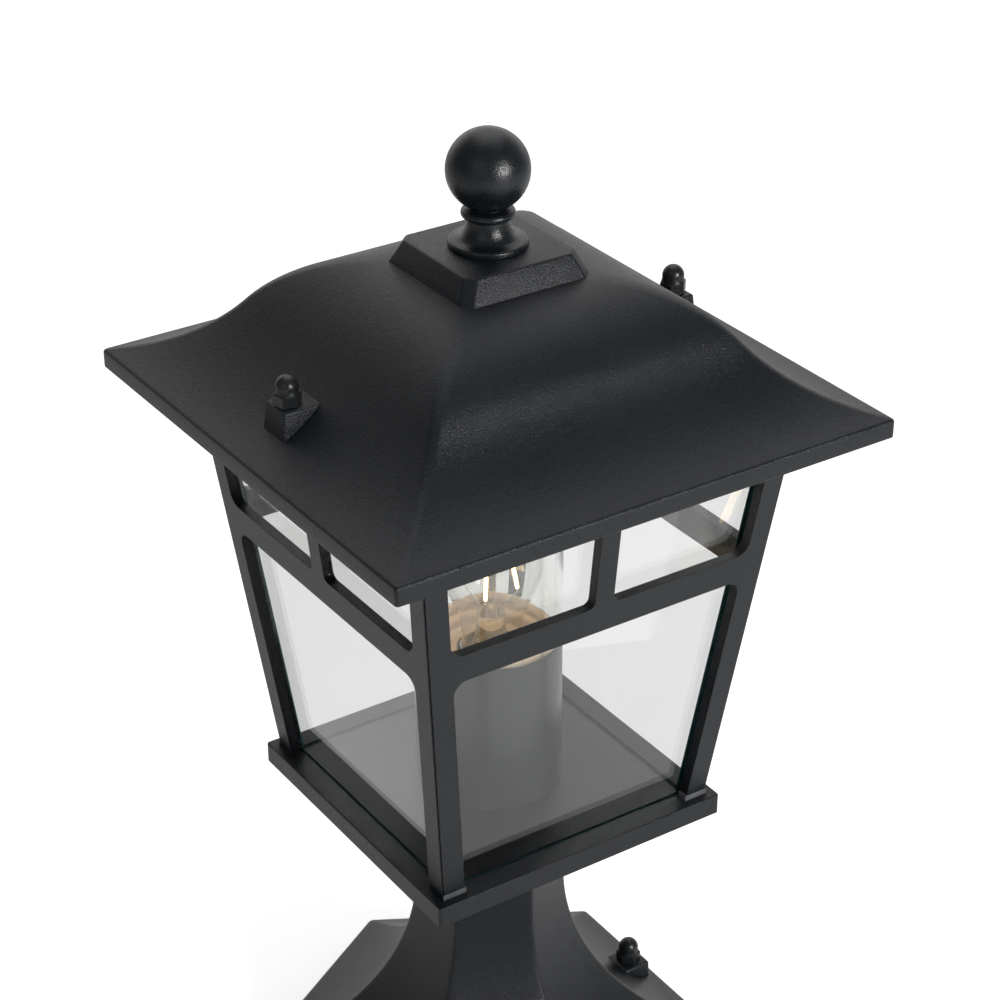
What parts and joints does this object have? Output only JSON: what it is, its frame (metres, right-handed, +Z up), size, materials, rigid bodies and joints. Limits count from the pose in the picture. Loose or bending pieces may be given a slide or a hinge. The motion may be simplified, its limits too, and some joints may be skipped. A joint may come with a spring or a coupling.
{
  "type": "post top lantern",
  "caption": "Square post top lantern with outward-leaning glazed sides, ogee roof with ball finial, bulb in a glass cylinder on a tube, on a flared six-sided pedestal.",
  "frame": {"origin": "centre of the base, on the surface the lantern stands on", "axes": "+Z up along the column; the roof nuts and base nuts lie on the X axis, -Y is the front side and -X the left side of the picture"},
  "size_m": [0.23, 0.23, 0.4668],
  "materials": {
    "paint": "fine textured matt black powder coat",
    "finial_black": "semi-gloss black paint",
    "nut_black": "semi-gloss black finish",
    "pad": "satin grey",
    "steel": "zinc plated, satin",
    "brass": "satin",
    "contact_metal": "satin",
    "rubber": "matt",
    "terminal": "matt white",
    "lead_brown": "matt brown",
    "lead_blue": "matt blue",
    "lead_green": "matt green and yellow",
    "glass": "clear with green edges",
    "lamp_glass": "clear",
    "bulb_glass": "clear",
    "holder": "matt off-white",
    "dish": "matt off-white",
    "insulator": "black glass",
    "filament": "lit warm phosphor"
  },
  "bodies": {
    "base": {"pedestal": "paint", "mounting_bar": "steel", "base_studs": "steel", "cable_grommet": "rubber", "terminal_block": "terminal", "terminal_screws": "steel", "earth_screw": "brass", "lead_line": "lead_brown", "lead_neutral": "lead_blue", "lead_earth": "lead_green", "tray": "paint", "foot_pads": "pad", "frame_front": "paint", "frame_back": "paint", "frame_left": "paint", "frame_right": "paint", "pane_front": "glass", "pane_back": "glass", "pane_left": "glass", "pane_right": "glass", "corner_angles": "paint", "frame_screws": "steel", "pane_clips": "steel", "clip_screws": "steel", "roof_brackets": "steel", "bracket_screws": "steel", "roof_studs": "steel", "nipple": "steel", "nipple_nuts": "steel", "lamp_tube": "paint", "lampholder": "holder", "holder_shell": "contact_metal", "holder_contact": "brass", "lamp_dish": "dish", "shade_ring": "holder", "glass_cylinder": "lamp_glass"},
    "roof": {"roof": "paint", "finial": "finial_black", "finial_stud": "steel", "finial_nut": "steel"},
    "roof_nut_left": {"roof_cap_nut_left": "nut_black"},
    "roof_nut_right": {"roof_cap_nut_right": "nut_black"},
    "base_nut_left": {"base_cap_nut_left": "nut_black"},
    "base_nut_right": {"base_cap_nut_right": "nut_black"},
    "bulb": {"bulb_glass": "bulb_glass", "bulb_cap": "contact_metal", "bulb_insulator": "insulator", "bulb_contact": "contact_metal", "bulb_stem": "bulb_glass", "filaments": "filament", "filament_wires": "contact_metal"}
  },
  "joints": [
    {"name": "roof_lift", "type": "slide", "parent": "base", "child": "roof", "axis": [0, 0, 1], "range_m": [0, 0.12]},
    {"name": "roof_nut_left_turn", "type": "hinge", "parent": "roof", "child": "roof_nut_left", "pos_m": [-0.092, 0, 0.378], "axis": [0, 0, 1], "continuous": true},
    {"name": "roof_nut_right_turn", "type": "hinge", "parent": "roof", "child": "roof_nut_right", "pos_m": [0.092, 0, 0.378], "axis": [0, 0, 1], "continuous": true},
    {"name": "base_nut_left_turn", "type": "hinge", "parent": "base", "child": "base_nut_left", "pos_m": [-0.0795, 0, 0.03], "axis": [0, 0, 1], "continuous": true},
    {"name": "base_nut_right_turn", "type": "hinge", "parent": "base", "child": "base_nut_right", "pos_m": [0.0795, 0, 0.03], "axis": [0, 0, 1], "continuous": true},
    {"name": "bulb_turn", "type": "hinge", "parent": "base", "child": "bulb", "pos_m": [0, 0, 0.22], "axis": [0, 0, 1], "continuous": true}
  ]
}
